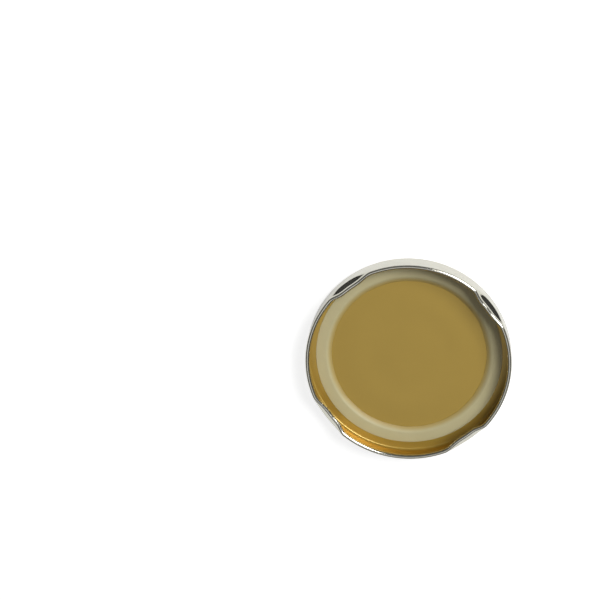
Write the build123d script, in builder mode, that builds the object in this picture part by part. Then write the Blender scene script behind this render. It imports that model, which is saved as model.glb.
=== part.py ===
from build123d import *
import math
import os

# Twist-off lid for a 63 mm lug finish glass jar: one drawn tinplate shell and the sealing ring cured in it.
# Millimetres. The lid lies on its crown with the mouth up. +Z is the lid's axis and points out of the mouth.
# The origin is on the axis, in the plane that the crown rests on.

# Shell, overall
lid_radius = 33.0  # outside of the skirt
lid_height = 9.6  # from the bead's crest to the top of the curl
sheet = 0.18  # tinplate thickness

# Crown, from the skirt inwards
shoulder_radius = 0.9  # outside bend between ledge and skirt
ledge_width = 3.4  # from the outside of the skirt to the foot of the bead
ledge_depth = 1.25  # how far the bead stands out past the ledge
bead_slope_width = 1.0
bead_crest_width = 1.3
bead_bend_radius = 0.5
panel_slope_width = 0.6
panel_recess = 0.45  # how far the centre panel lies back from the bead's crest

# Shallow waves of the centre panel
wave_height = 0.12
wave_centre_radius = 3.9  # raised centre
wave_valley_radius = 11.6
wave_ridge_radius = 17.4
wave_end_width = 1.8  # flat border between the last wave and the bead

# Curl: the edge rolled inwards into an open tube
curl_radius = 0.68  # outside radius of the roll's section
curl_wrap = 240.0  # degrees from the skirt to the cut edge

# Lugs: places where the curl is pressed in, so that they catch under the glass threads
lug_count = 4
first_lug_angle = 45.0  # middle of the first lug's flat, in degrees
lug_press = 1.3  # how far the curl is pressed inwards
lug_setback = 0.4  # how far it is pressed back towards the crown
lug_rise = 8.2  # long ramp, along the rim
lug_flat = 2.4
lug_fall = 6.0  # steep ramp, on the side that leads when the lid is screwed on
lug_dent_height = 1.2  # height of the dent in the skirt beyond the curl

# Sealing ring, flowed into the channel inside the bead
ring_inner_lap = 1.5  # past the bead, onto the centre panel
ring_outer_lap = 0.5  # past the bead, onto the ledge
ring_cover = 0.15  # thickness over the ledge
ring_edge_radius = 0.12
ring_slope_width = 1.3  # the soft inner edge, which rises from the panel to the sealing face

# Worked out from the sizes above
bead_foot_radius = lid_radius - ledge_width
bead_outer_crest = bead_foot_radius - bead_slope_width
bead_inner_crest = bead_outer_crest - bead_crest_width
panel_radius = bead_inner_crest - panel_slope_width
curl_middle = lid_height - curl_radius
dent_start = curl_middle - curl_radius - lug_dent_height
curl_bore = curl_radius - sheet
wave_end_radius = panel_radius - wave_end_width
ring_inner_radius = panel_radius - ring_inner_lap
ring_outer_radius = bead_foot_radius + ring_outer_lap
panel_inside = panel_recess + sheet
ledge_inside = ledge_depth + sheet
seal_height = ledge_inside + ring_cover
lug_length = lug_rise + lug_flat + lug_fall
section_step = 0.4  # spacing of the sections through a lug, along the rim


def sheet_outside():
    """The outside line of the crown and the plain skirt, from the axis to the height where the dents start."""
    Polyline(
        (0, panel_recess + wave_height),
        (wave_centre_radius, panel_recess + wave_height),
        (wave_valley_radius, panel_recess),
        (wave_ridge_radius, panel_recess + wave_height),
        (wave_end_radius, panel_recess),
    )
    FilletPolyline(
        (wave_end_radius, panel_recess),
        (panel_radius, panel_recess),
        (bead_inner_crest, 0),
        (bead_outer_crest, 0),
        (bead_foot_radius, ledge_depth),
        (lid_radius, ledge_depth),
        (lid_radius, dent_start),
        radius=[bead_bend_radius] * 4 + [shoulder_radius],
    )


def lug_ramp(share):
    """Rises from 0 to 1 with no corner, by a tight bend at the foot and a long one at the top."""
    share = min(max(share, 0.0), 1.0)
    return 1 - (1 - share) ** 3 * (1 + 3 * share)


def lug_shape(along):
    """How far the curl is pressed in, from 0 to 1, at a distance along the rim from the lug's start."""
    if along < lug_rise:
        return lug_ramp(along / lug_rise)
    return lug_ramp((lug_length - along) / lug_fall)


def radial_plane(along):
    """The plane through the axis at a distance along the rim: its x points outwards and its y up."""
    middle_of_flat = lug_rise + lug_flat / 2
    angle = math.radians(first_lug_angle) + (along - middle_of_flat) / lid_radius
    outwards = (math.cos(angle), math.sin(angle), 0)
    return Plane(origin=(0, 0, 0), x_dir=outwards, z_dir=(outwards[1], -outwards[0], 0))


def rim_section(along):
    """The sheet's section from where the dents start to the cut edge inside the curl."""
    pressed = lug_shape(along)
    middle = Vector(
        lid_radius - curl_radius - lug_press * pressed,
        curl_middle - lug_setback * pressed,
    )
    reach = (middle.Y - dent_start) / 2
    lean = math.atan(lug_press * pressed / reach)
    inner_shift = sheet * math.tan(lean / 2) * 4 / 3

    def on_curl(radius, share):
        turn = math.radians(curl_wrap * share)
        return middle + Vector(math.cos(turn), math.sin(turn)) * radius

    with BuildSketch(radial_plane(along)) as section:
        with BuildLine():
            Bezier(
                (lid_radius, dent_start),
                (lid_radius, dent_start + reach),
                middle + Vector(curl_radius, -reach),
                on_curl(curl_radius, 0),
            )
            ThreePointArc(on_curl(curl_radius, 0), on_curl(curl_radius, 0.25), on_curl(curl_radius, 0.5))
            ThreePointArc(on_curl(curl_radius, 0.5), on_curl(curl_radius, 0.75), on_curl(curl_radius, 1))
            Line(on_curl(curl_radius, 1), on_curl(curl_bore, 1))
            ThreePointArc(on_curl(curl_bore, 1), on_curl(curl_bore, 0.75), on_curl(curl_bore, 0.5))
            ThreePointArc(on_curl(curl_bore, 0.5), on_curl(curl_bore, 0.25), on_curl(curl_bore, 0))
            Bezier(
                on_curl(curl_bore, 0),
                middle + Vector(curl_bore, -reach - inner_shift),
                (lid_radius - sheet, dent_start + reach - inner_shift),
                (lid_radius - sheet, dent_start),
            )
            Line((lid_radius - sheet, dent_start), (lid_radius, dent_start))
        make_face()
    return section.sketch


# One lug: the rim's sections lofted along the rim
section_count = math.ceil(lug_length / section_step) + 1
with BuildPart() as lug:
    loft([rim_section(lug_length * number / (section_count - 1)) for number in range(section_count)])

# The plain rim from the end of one lug to the start of the next
lug_span = math.degrees(lug_length / lid_radius)
with BuildPart() as plain_rim:
    add(rim_section(lug_length))
    revolve(axis=Axis.Z, revolution_arc=360 / lug_count - lug_span)

# Lid shell: crown and plain skirt turned from the sheet's section, then the lugs and the plain rim between
with BuildPart() as lid_shell:
    with BuildSketch(Plane.XZ):
        with BuildLine():
            sheet_outside()
            offset(amount=sheet, side=Side.LEFT)
        make_face()
    revolve(axis=Axis.Z)
    with PolarLocations(0, lug_count):
        add(lug.part)
    with PolarLocations(0, lug_count):
        add(plain_rim.part)
lid_shell.part.label = "lid_shell"

# Sealing ring: fills the channel down to the sheet, with a flat sealing face and a soft inner edge
with BuildPart() as sealing_ring:
    with BuildSketch(Plane.XZ):
        with BuildLine():
            soft_edge = Bezier(
                (ring_inner_radius, panel_inside),
                (ring_inner_radius + ring_slope_width / 2, panel_inside + ring_cover),
                (ring_inner_radius + ring_slope_width / 2, seal_height),
                (ring_inner_radius + ring_slope_width, seal_height),
            )
            Line(soft_edge @ 1, (ring_outer_radius - ring_edge_radius, seal_height))
            RadiusArc(
                (ring_outer_radius - ring_edge_radius, seal_height),
                (ring_outer_radius, seal_height - ring_edge_radius),
                ring_edge_radius,
            )
            Polyline(
                (ring_outer_radius, seal_height - ring_edge_radius),
                (ring_outer_radius, 0),
                (ring_inner_radius, 0),
                soft_edge @ 0,
            )
        make_face()
        with BuildLine():
            sheet_outside()
            offset(amount=sheet, side=Side.LEFT, closed=False)
            Polyline(
                (0, panel_inside + wave_height),
                (0, -sheet),
                (lid_radius, -sheet),
                (lid_radius, dent_start),
                (lid_radius - sheet, dent_start),
            )
        make_face(mode=Mode.SUBTRACT)
    revolve(axis=Axis.Z)
sealing_ring.part.label = "sealing_ring"

os.makedirs("parts", exist_ok=True)
export_step(lid_shell.part, "parts/lid_shell.step")
export_step(sealing_ring.part, "parts/sealing_ring.step")
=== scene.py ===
import math

import bpy
import mathutils
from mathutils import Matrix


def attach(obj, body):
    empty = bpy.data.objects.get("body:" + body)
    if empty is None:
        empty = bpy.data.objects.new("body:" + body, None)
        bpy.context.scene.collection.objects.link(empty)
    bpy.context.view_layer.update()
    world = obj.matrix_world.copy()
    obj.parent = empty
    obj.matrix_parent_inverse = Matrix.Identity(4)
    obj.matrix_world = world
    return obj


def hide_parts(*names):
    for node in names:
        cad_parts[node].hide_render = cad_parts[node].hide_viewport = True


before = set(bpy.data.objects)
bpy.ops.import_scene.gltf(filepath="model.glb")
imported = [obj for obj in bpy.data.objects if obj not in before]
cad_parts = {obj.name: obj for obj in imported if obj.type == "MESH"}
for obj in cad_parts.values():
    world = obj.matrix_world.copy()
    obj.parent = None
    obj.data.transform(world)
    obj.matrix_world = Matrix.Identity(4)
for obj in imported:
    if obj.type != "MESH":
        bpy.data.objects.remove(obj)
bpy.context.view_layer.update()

MM = 0.001

# The lid's sizes in millimetres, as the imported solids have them, but for the ring's feathered inner edge
LID_RADIUS = 33.0
LID_HEIGHT = 9.6
SHEET = 0.18
SHOULDER_RADIUS = 0.9
LEDGE_DEPTH = 1.25
BEAD_FOOT = 29.6
BEAD_OUTER_CREST = 28.6
BEAD_INNER_CREST = 27.3
BEAD_BEND = 0.5
PANEL_RADIUS = 26.7
PANEL_RECESS = 0.45
WAVE_HEIGHT = 0.12
WAVE_RADII = (0.0, 3.9, 11.6, 17.4, 24.9)
WAVE_SHARES = (1.0, 1.0, 0.0, 1.0, 0.0)
CURL_RADIUS = 0.68
CURL_WRAP = 240.0
CURL_MIDDLE = LID_HEIGHT - CURL_RADIUS
DENT_START = 7.04
LUG_COUNT = 4
FIRST_LUG_ANGLE = 45.0
LUG_PRESS = 1.3
LUG_SETBACK = 0.4
LUG_RISE = 8.2
LUG_FLAT = 2.4
LUG_FALL = 6.0
RING_INNER = 25.0
RING_OUTER = 30.1
RING_SLOPE = 2.0
RING_COVER = 0.15
RING_EDGE = 0.12
SEAL_HEIGHT = 1.58
PANEL_INSIDE = PANEL_RECESS + SHEET


class Value:
    """An output socket. An expression on values adds the Math nodes that work it out."""

    def __init__(self, tree, socket):
        self.tree = tree
        self.socket = socket

    def math(self, operation, *others):
        """A Math node with this value in its first socket."""
        return self.tree.node("ShaderNodeMath", {"operation": operation}, dict(enumerate((self,) + others)))

    def __add__(self, other):
        return self.math("ADD", other)

    def __radd__(self, other):
        return self.math("ADD", other)

    def __sub__(self, other):
        return self.math("SUBTRACT", other)

    def __rsub__(self, other):
        return self.tree.node("ShaderNodeMath", {"operation": "SUBTRACT"}, {0: other, 1: self})

    def __mul__(self, other):
        return self.math("MULTIPLY", other)

    def __rmul__(self, other):
        return self.math("MULTIPLY", other)

    def __truediv__(self, other):
        return self.math("DIVIDE", other)

    def __mod__(self, other):
        return self.math("FLOORED_MODULO", other)


class Tree:
    """A node tree that is being made, for a material or for Geometry Nodes."""

    def __init__(self, tree):
        self.tree = tree

    def node(self, kind, settings=None, inputs=None, output=0):
        """Adds a node, sets its settings and then its sockets, and gives the value of one of its outputs."""
        made = self.tree.nodes.new(kind)
        for name, setting in (settings or {}).items():
            if name == "stops":
                elements = made.color_ramp.elements
                while len(elements) < len(setting):
                    elements.new(1.0)
                for element, (place, colour) in zip(elements, setting):
                    element.position = place
                    element.color = (*colour, 1.0)
            else:
                setattr(made, name, setting)
        for name, given in (inputs or {}).items():
            if isinstance(given, Value):
                self.tree.links.new(given.socket, made.inputs[name])
            elif given is not None:
                made.inputs[name].default_value = given
        return Value(self, made.outputs[output]) if made.outputs else made

    def between(self, value, low, high, start=0.0, end=1.0, curve="SMOOTHSTEP"):
        """Goes from start to end, with no corner, while value goes from low to high."""
        sockets = {"Value": value, "From Min": low, "From Max": high, "To Min": start, "To Max": end}
        return self.node("ShaderNodeMapRange", {"interpolation_type": curve}, sockets)

    def vector(self, operation, first, second=None, output="Vector"):
        """A Vector Math node."""
        return self.node("ShaderNodeVectorMath", {"operation": operation}, {0: first, 1: second}, output)


# Section lines, in millimetres: distance from the axis, and height

def smooth(share):
    """Rises from 0 to 1 with no corner at either end."""
    return share * share * (3 - 2 * share)


def rounded(corners, radii, steps):
    """The line through the corners, with each inner corner rounded by its radius in that many steps."""
    line = [mathutils.Vector(corners[0])]
    for before, corner, after, radius in zip(corners, corners[1:], corners[2:], radii):
        corner = mathutils.Vector(corner)
        back = (mathutils.Vector(before) - corner).normalized()
        ahead = (mathutils.Vector(after) - corner).normalized()
        half = back.angle(ahead) / 2
        middle = corner + (back + ahead).normalized() * (radius / math.sin(half))
        start = corner + back * (radius / math.tan(half)) - middle
        end = corner + ahead * (radius / math.tan(half)) - middle
        turn = start.angle(end)
        for step in range(steps + 1):
            share = step / steps
            weights = (math.sin((1 - share) * turn), math.sin(share * turn))
            line.append(middle + (start * weights[0] + end * weights[1]) / math.sin(turn))
    line.append(mathutils.Vector(corners[-1]))
    return line


def offset(line, distance):
    """The line moved to its left by a distance."""
    moved = []
    for number, point in enumerate(line):
        before = line[max(number - 1, 0)]
        after = line[min(number + 1, len(line) - 1)]
        sides = [(b - a).normalized() for a, b in ((before, point), (point, after)) if (b - a).length > 1e-9]
        along = (sides[0] + sides[-1]).normalized()
        left = mathutils.Vector((-along.y, along.x))
        moved.append(point + left * (distance / max(along.dot(sides[0]), 0.2)))
    return moved


def crown_line():
    """The outside of the crown and the plain skirt, from the axis to the height where the dents start."""
    waves = []
    for number in range(len(WAVE_RADII) - 1):
        inner, outer = WAVE_RADII[number : number + 2]
        low, high = WAVE_SHARES[number : number + 2]
        steps = 3 if low == high else 10
        for step in range(steps):
            share = step / steps
            height = low + (high - low) * smooth(share)
            waves.append(mathutils.Vector((inner + (outer - inner) * share, PANEL_RECESS + WAVE_HEIGHT * height)))
    corners = [
        (WAVE_RADII[-1], PANEL_RECESS),
        (PANEL_RADIUS, PANEL_RECESS),
        (BEAD_INNER_CREST, 0.0),
        (BEAD_OUTER_CREST, 0.0),
        (BEAD_FOOT, LEDGE_DEPTH),
        (LID_RADIUS, LEDGE_DEPTH),
        (LID_RADIUS, DENT_START),
    ]
    return waves + rounded(corners, [BEAD_BEND] * 4 + [SHOULDER_RADIUS], 7)


def rim_points(distance, steps):
    """The side of the rim at a distance inside its outside, from the dents' start to the cut edge.

    Each point is (place, pressed in, pressed down, lean).
    """
    points = []
    for step in range(1, steps):
        height = step / steps
        place = (LID_RADIUS - distance, DENT_START + (CURL_MIDDLE - DENT_START) * height)
        lean = 4 * height * (1 - height) if distance else 0.0
        points.append((place, height, height, lean))
    middle = mathutils.Vector((LID_RADIUS - CURL_RADIUS, CURL_MIDDLE))
    bends = 28
    for step in range(bends + 1):
        turn = math.radians(CURL_WRAP * step / bends)
        place = middle + mathutils.Vector((math.cos(turn), math.sin(turn))) * (CURL_RADIUS - distance)
        points.append((place, 1.0, 1.0, 0.0))
    return points


def shell_section():
    """The sheet's whole section, as (place, pressed in, pressed down, lean, lacquered), from the axis inside to the axis outside."""
    outside = crown_line()
    inside = offset(outside, SHEET)
    inside[0].x = 0.0
    plain = (0.0, 0.0, 0.0)
    points = [(place, *plain, 1.0) for place in inside]
    points += [(*point, 1.0) for point in rim_points(SHEET, 14)]
    points += [(*point, 0.0) for point in reversed(rim_points(0.0, 14))]
    return points + [(place, *plain, 0.0) for place in reversed(outside)]


def ring_section():
    """The sealing ring's section: over the soft edge and the sealing face, and back along the channel."""
    top = []
    steps = 16
    for step in range(steps + 1):
        share = step / steps
        height = RING_COVER * 3 * share * (1 - share) ** 2
        height += (SEAL_HEIGHT - PANEL_INSIDE) * (3 * share**2 * (1 - share) + share**3)
        top.append((mathutils.Vector((RING_INNER + RING_SLOPE * share, PANEL_INSIDE + height)), 1 - share))
    flat = RING_OUTER - RING_EDGE
    for share in (0.25, 0.5, 0.75):
        between = RING_INNER + RING_SLOPE + (flat - RING_INNER - RING_SLOPE) * share
        top.append((mathutils.Vector((between, SEAL_HEIGHT)), 0.0))
    for step in range(5):
        turn = math.radians(90 - 22.5 * step)
        place = (flat + RING_EDGE * math.cos(turn), SEAL_HEIGHT - RING_EDGE + RING_EDGE * math.sin(turn))
        top.append((mathutils.Vector(place), 0.0))
    under = [place for place in offset(crown_line(), SHEET) if RING_INNER + 0.05 < place.x < RING_OUTER - 0.02]
    floor_corner = mathutils.Vector((RING_OUTER, LEDGE_DEPTH + SHEET))
    back = [(place, 0.0) for place in [floor_corner] + under[::-1]]
    return [(place, 0.0, 0.0, 0.0, edge) for place, edge in top + back + top[:1]]


def section_mesh(name, points, extra):
    """The section as a line of edges in the plane of X and Z, with what each point is told."""
    mesh = bpy.data.meshes.new(name)
    places = [(point[0][0] * MM, 0.0, point[0][1] * MM) for point in points]
    mesh.from_pydata(places, [(n, n + 1) for n in range(len(places) - 1)], [])
    for number, told in enumerate(("pressed_in", "pressed_down", "lean", extra), start=1):
        attribute = mesh.attributes.new(told, "FLOAT", "POINT")
        attribute.data.foreach_set("value", [point[number] for point in points])
    return mesh


# Geometry Nodes: a section turned round the axis, with lugs pressed in and an edge that wanders

TURNED_INPUTS = {
    "Points in section": ("NodeSocketInt", 2),
    "Points round": ("NodeSocketInt", 384),
    "Rim radius": ("NodeSocketFloat", LID_RADIUS * MM),
    "Lug spacing": ("NodeSocketFloat", 2 * math.pi * LID_RADIUS * MM / LUG_COUNT),
    "First lug start": ("NodeSocketFloat", 0.0),
    "Lug rise": ("NodeSocketFloat", LUG_RISE * MM),
    "Lug flat": ("NodeSocketFloat", LUG_FLAT * MM),
    "Lug fall": ("NodeSocketFloat", LUG_FALL * MM),
    "Lug press": ("NodeSocketFloat", 0.0),
    "Dent steepness": ("NodeSocketFloat", 1.2),
    "Lug setback": ("NodeSocketFloat", 0.0),
    "Lean shift": ("NodeSocketFloat", 0.0),
    "Edge wander": ("NodeSocketFloat", 0.0),
    "Wander seed": ("NodeSocketFloat", 3.0),
    "Finish": ("NodeSocketMaterial", None),
}


def turned_tree(extra):
    """The node tree that turns a section into a part. extra is the attribute that its material reads."""
    group = bpy.data.node_groups.new(f"turned_{extra}", "GeometryNodeTree")
    group.interface.new_socket("Section", in_out="INPUT", socket_type="NodeSocketGeometry")
    for name, (kind, start) in TURNED_INPUTS.items():
        socket = group.interface.new_socket(name, in_out="INPUT", socket_type=kind)
        if start is not None:
            socket.default_value = start
    group.interface.new_socket("Part", in_out="OUTPUT", socket_type="NodeSocketGeometry")
    tree = Tree(group)
    given = group.nodes.new("NodeGroupInput")
    size = {name: Value(tree, given.outputs[name]) for name in TURNED_INPUTS}
    section = Value(tree, given.outputs["Section"])

    columns = size["Points round"] + 1
    sheet_grid = tree.node(
        "GeometryNodeMeshGrid",
        inputs={"Vertices X": size["Points in section"], "Vertices Y": columns},
        output="Mesh",
    )
    index = tree.node("GeometryNodeInputIndex")
    row = (index / columns).math("FLOOR")
    turn = (index - row * columns) / size["Points round"] * (2 * math.pi)

    def told(kind, source):
        sockets = {"Geometry": section, "Value": source, "Index": row}
        return tree.node("GeometryNodeSampleIndex", {"data_type": kind, "domain": "POINT"}, sockets, "Value")

    def told_by_name(name):
        named = tree.node("GeometryNodeInputNamedAttribute", {"data_type": "FLOAT"}, {"Name": name}, "Attribute")
        return told("FLOAT", named)

    place = told("FLOAT_VECTOR", tree.node("GeometryNodeInputPosition"))
    parts = tree.node("ShaderNodeSeparateXYZ", inputs={0: place})
    out = parts
    height = Value(tree, parts.socket.node.outputs["Z"])

    along = (turn * size["Rim radius"] - size["First lug start"]) % size["Lug spacing"]

    def lug_ramp(distance, length):
        """Rises from 0 to 1 over a length, by a tight bend at the foot and a long one at the top."""
        left = 1 - tree.between(distance, 0.0, length, curve="LINEAR")
        return 1 - left * left * left * (4 - 3 * left)

    lug_length = size["Lug rise"] + size["Lug flat"] + size["Lug fall"]
    pressed = lug_ramp(along, size["Lug rise"]) * lug_ramp(lug_length - along, size["Lug fall"])
    round_it = tree.node("ShaderNodeCombineXYZ", inputs={0: turn.math("COSINE"), 1: turn.math("SINE")})
    wander_place = tree.vector("MULTIPLY", round_it, (4.0, 4.0, 0.0))
    wander = tree.node(
        "ShaderNodeTexNoise",
        {"noise_dimensions": "4D"},
        {"Vector": wander_place, "W": size["Wander seed"], "Scale": 1.0, "Detail": 2.0},
    )
    edge = told_by_name(extra)
    dent = (pressed - (1 - told_by_name("pressed_in")) * size["Dent steepness"]).math("MAXIMUM", 0.0)
    out = out - size["Lug press"] * dent
    out = out + (wander - 0.5) * size["Edge wander"] * edge
    height = height - size["Lug setback"] * pressed * told_by_name("pressed_down")
    height = height - size["Lean shift"] * pressed * told_by_name("lean")
    placed = tree.node(
        "ShaderNodeCombineXYZ", inputs={0: out * turn.math("COSINE"), 1: out * turn.math("SINE"), 2: height}
    )
    turned = tree.node("GeometryNodeSetPosition", inputs={"Geometry": sheet_grid, "Position": placed})
    marked = tree.node(
        "GeometryNodeStoreNamedAttribute",
        {"data_type": "FLOAT", "domain": "POINT"},
        {"Geometry": turned, "Name": extra, "Value": edge},
    )
    closed = tree.node("GeometryNodeMergeByDistance", inputs={"Geometry": marked, "Distance": 1e-6})
    softened = tree.node("GeometryNodeSetShadeSmooth", inputs={"Geometry": closed})
    whole = tree.node("GeometryNodeRealizeInstances", inputs={"Geometry": softened})
    finished = tree.node("GeometryNodeSetMaterial", inputs={"Geometry": whole, "Material": size["Finish"]})
    tree.node("NodeGroupOutput", inputs={"Part": finished})
    return group


def turned_part(name, points, extra, sizes, finish):
    """A finished piece, turned from its section."""
    piece = bpy.data.objects.new(name, section_mesh(name, points, extra))
    bpy.context.scene.collection.objects.link(piece)
    modifier = piece.modifiers.new("turned", "NODES")
    modifier.node_group = turned_tree(extra)
    sockets = {item.name: item.identifier for item in modifier.node_group.interface.items_tree}
    for size, value in {"Points in section": len(points), "Finish": finish, **sizes}.items():
        modifier[sockets[size]] = value
    depsgraph = bpy.context.evaluated_depsgraph_get()
    mesh = bpy.data.meshes.new_from_object(piece.evaluated_get(depsgraph))
    piece.modifiers.remove(modifier)
    piece.data = mesh
    mesh.name = name
    return piece


# Materials

def new_material(name):
    """A material, its tree, its shader's node and the object coordinates."""
    material = bpy.data.materials.new(name)
    material.use_nodes = True
    tree = Tree(material.node_tree)
    shader = material.node_tree.nodes["Principled BSDF"]
    where = tree.node("ShaderNodeTexCoord", output="Object")
    return material, tree, shader, where


def noise(tree, where, scale, detail=2.0, roughness=0.5, stretch=(1.0, 1.0, 1.0), output=0):
    """Noise on the object, stretched along its axes."""
    placed = tree.node("ShaderNodeMapping", inputs={"Vector": where, "Scale": stretch})
    sockets = {"Vector": placed, "Scale": scale, "Detail": detail, "Roughness": roughness}
    return tree.node("ShaderNodeTexNoise", inputs=sockets, output=output)


def blend_colours(tree, share, first, second):
    """A colour that goes from the first to the second as share goes from 0 to 1."""
    return tree.node("ShaderNodeMix", {"data_type": "RGBA"}, {0: share, 6: first, 7: second}, 2)


def connect(material, shader, **values):
    """Links values to the shader's sockets, named with underscores for spaces."""
    for name, value in values.items():
        material.node_tree.links.new(value.socket, shader.inputs[name.replace("_", " ")])


def tinplate():
    """Bright tinplate outside, with the rolling's grain, and gold lacquer inside under its own gloss."""
    material, tree, shader, where = new_material("lacquered_tinplate")
    lacquered = tree.node("ShaderNodeAttribute", {"attribute_name": "lacquered"}, output="Fac")
    grain = noise(tree, where, 1600.0, 2.0, 0.6, (0.02, 1.0, 0.3))
    clouds = noise(tree, where, 60.0, 2.0, 0.5)
    orange_peel = noise(tree, where, 1100.0, 2.0, 0.5)
    up = tree.node("ShaderNodeSeparateXYZ", inputs={0: where}, output="Z")
    wall = tree.between(up, 0.0018, 0.0030)
    bright = blend_colours(tree, grain, (0.74, 0.725, 0.63, 1.0), (0.82, 0.805, 0.70, 1.0))
    gold = blend_colours(tree, clouds, (0.495, 0.332, 0.060, 1.0), (0.525, 0.352, 0.066, 1.0))
    gold = blend_colours(tree, wall, gold, (0.53, 0.33, 0.045, 1.0))
    colour = blend_colours(tree, lacquered, bright, gold)
    rough = 0.09 + 0.06 * grain + lacquered * (0.25 - 0.05 * wall)
    height = grain * (1 - lacquered) * 0.3 + orange_peel * lacquered
    bump = tree.node("ShaderNodeBump", inputs={"Strength": 0.05, "Distance": 0.00005, "Height": height})
    connect(material, shader, Base_Color=colour, Roughness=rough, Normal=bump, Coat_Weight=0.3 * lacquered, Metallic=1 - lacquered * (0.55 - 0.40 * wall))
    shader.inputs["Coat Roughness"].default_value = 0.2
    return material


def sealing_compound():
    """Cream sealing compound: soft, slightly mottled, a little thinner at its inner edge."""
    material, tree, shader, where = new_material("sealing_compound")
    thin = tree.node("ShaderNodeAttribute", {"attribute_name": "thin"}, output="Fac")
    clouds = noise(tree, where, 130.0, 3.0, 0.6)
    pores = noise(tree, where, 1800.0, 2.0, 0.5)
    body = blend_colours(tree, clouds, (0.54, 0.485, 0.27, 1.0), (0.61, 0.55, 0.32, 1.0))
    colour = blend_colours(tree, tree.between(thin, 0.15, 0.95, 0.0, 0.9), body, (0.47, 0.335, 0.09, 1.0))
    rough = 0.40 + 0.12 * pores
    relief = clouds * 0.7 + pores * 0.15
    bump = tree.node("ShaderNodeBump", inputs={"Strength": 0.2, "Distance": 0.0002, "Height": relief})
    connect(material, shader, Base_Color=colour, Roughness=rough, Normal=bump)
    shader.inputs["Specular IOR Level"].default_value = 0.4
    return material


def white_floor():
    """Pale floor that keeps the lid's shadow, and that the camera and reflections see a shade brighter, as white."""
    material, tree, shader, where = new_material("white_floor")
    camera_ray = tree.node("ShaderNodeLightPath", output="Is Camera Ray")
    rays = camera_ray.socket.node.outputs
    reflected = Value(tree, rays["Is Glossy Ray"]).math("MAXIMUM", Value(tree, rays["Is Transmission Ray"]))
    glow = (0.78 * camera_ray).math("MAXIMUM", 0.42 * reflected)
    mottle = noise(tree, where, 60.0, 3.0, 0.5)
    colour = blend_colours(tree, mottle, (0.50, 0.50, 0.50, 1.0), (0.53, 0.53, 0.53, 1.0))
    diffuse = tree.node("ShaderNodeBsdfDiffuse", inputs={"Color": colour})
    emission = tree.node("ShaderNodeEmission", inputs={"Color": (1.0, 1.0, 1.0, 1.0), "Strength": glow})
    both = tree.node("ShaderNodeAddShader", inputs={0: diffuse, 1: emission})
    material.node_tree.links.new(both.socket, material.node_tree.nodes["Material Output"].inputs["Surface"])
    material.node_tree.nodes.remove(shader)
    return material


# Camera: above the lid and leaning over its far side, in the photograph's frame

FOCAL_PIXELS = 2000.0
PICTURE = 600.0
SENSOR = 36.0
LEAN_FORWARD = math.radians(18.3)
LEAN_SIDE = math.radians(4.9)
TURN_IN_PICTURE = math.radians(-6.4)
MOUTH_FROM_CAMERA = mathutils.Vector((34.5, 20.45, 638.7)) * MM


def make_camera():
    """The camera, from where the middle of the mouth stands in it."""
    to_camera = (
        mathutils.Matrix.Rotation(LEAN_FORWARD, 3, "X")
        @ mathutils.Matrix.Rotation(LEAN_SIDE, 3, "Y")
        @ mathutils.Matrix.Diagonal((1.0, -1.0, -1.0))
        @ mathutils.Matrix.Rotation(TURN_IN_PICTURE, 3, "Z")
    )
    data = bpy.data.cameras.new("camera")
    data.sensor_width = SENSOR
    data.lens = SENSOR * FOCAL_PIXELS / PICTURE
    camera = bpy.data.objects.new("camera", data)
    bpy.context.scene.collection.objects.link(camera)
    back = to_camera.transposed()
    place = mathutils.Vector((0, 0, LID_HEIGHT * MM)) - back @ MOUTH_FROM_CAMERA
    turn = back @ mathutils.Matrix.Diagonal((1.0, -1.0, -1.0))
    camera.matrix_world = mathutils.Matrix.Translation(place) @ turn.to_4x4()
    bpy.context.scene.camera = camera
    return place


def area_light(name, place, aim, size, power):
    """A square soft light that faces a point."""
    data = bpy.data.lights.new(name, "AREA")
    data.size = size
    data.energy = power
    light = bpy.data.objects.new(name, data)
    bpy.context.scene.collection.objects.link(light)
    light.location = place
    light.rotation_euler = (mathutils.Vector(aim) - light.location).to_track_quat("-Z", "Y").to_euler()
    return light


# The lid

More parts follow.
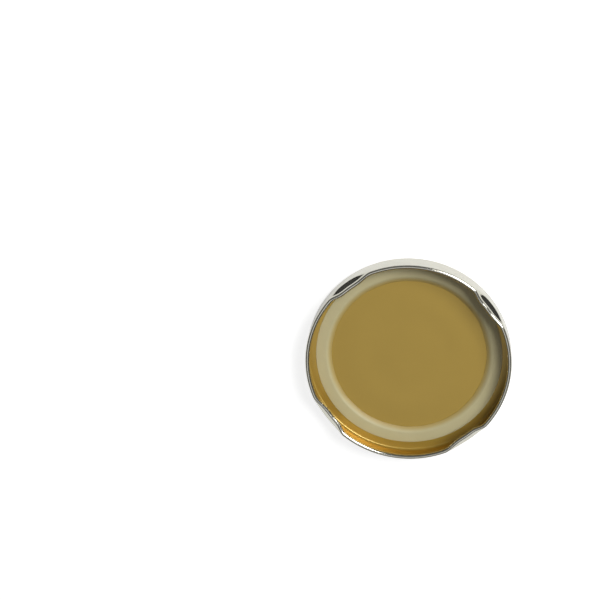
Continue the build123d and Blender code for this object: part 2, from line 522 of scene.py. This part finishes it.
lug_start = math.radians(FIRST_LUG_ANGLE) * LID_RADIUS - LUG_RISE - LUG_FLAT / 2
lug_reach = (CURL_MIDDLE - DENT_START) / 2
lug_lean = math.atan(LUG_PRESS / lug_reach)
lid_shell = turned_part(
    "tinplate_shell",
    shell_section(),
    "lacquered",
    {
        "First lug start": lug_start * MM,
        "Lug press": LUG_PRESS * MM,
        "Lug setback": LUG_SETBACK * MM,
        "Lean shift": SHEET * math.tan(lug_lean / 2) * 4 / 3 * MM,
    },
    tinplate(),
)
sealing_ring = turned_part("compound_ring", ring_section(), "thin", {"Edge wander": 0.5 * MM}, sealing_compound())

for piece, node, slot in (
    (lid_shell, "lid_shell", "tinplate"),
    (sealing_ring, "sealing_ring", "sealing_compound"),
):
    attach(piece, "root")
    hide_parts(node)

# Floor, light and camera

floor_mesh = bpy.data.meshes.new("floor")
floor_half = 3.0
floor_mesh.from_pydata(
    [(-floor_half, -floor_half, 0), (floor_half, -floor_half, 0), (floor_half, floor_half, 0), (-floor_half, floor_half, 0)],
    [],
    [(0, 1, 2, 3)],
)
floor_mesh.materials.append(white_floor())
floor = bpy.data.objects.new("floor", floor_mesh)
bpy.context.scene.collection.objects.link(floor)

camera_place = make_camera()
over_lid = mathutils.Vector((0.0, 0.0, 0.005))


def toward(azimuth, elevation, distance):
    """The point at a distance from the lid in a direction given in degrees."""
    azimuth, elevation = math.radians(azimuth), math.radians(elevation)
    flat = math.cos(elevation)
    return over_lid + distance * mathutils.Vector(
        (math.cos(azimuth) * flat, math.sin(azimuth) * flat, math.sin(elevation))
    )


area_light("key", toward(48.0, 50.0, 0.75), over_lid, 0.38, 4.7)
mirrored = mathutils.Vector((-camera_place.x, -camera_place.y, camera_place.z)).normalized()
area_light("overhead", mirrored * 1.05, over_lid, 0.50, 0.45)


def studio_world():
    """A dim dome, darker towards the horizon, which the camera sees as white."""
    world = bpy.data.worlds.new("studio")
    world.use_nodes = True
    tree = Tree(world.node_tree)
    direction = tree.node("ShaderNodeTexCoord", output="Generated")
    height = tree.node("ShaderNodeSeparateXYZ", inputs={0: direction}, output="Z")
    dome = tree.between(height, 0.1, 0.8, 0.04, 0.15)
    seen = tree.node("ShaderNodeLightPath", output="Is Camera Ray")
    strength = dome + seen * (1 - dome)
    background = world.node_tree.nodes["Background"]
    world.node_tree.links.new(strength.socket, background.inputs["Strength"])
    background.inputs["Color"].default_value = (1.0, 1.0, 1.0, 1.0)
    return world


bpy.context.scene.world = studio_world()
bpy.context.scene.view_settings.view_transform = "Standard"
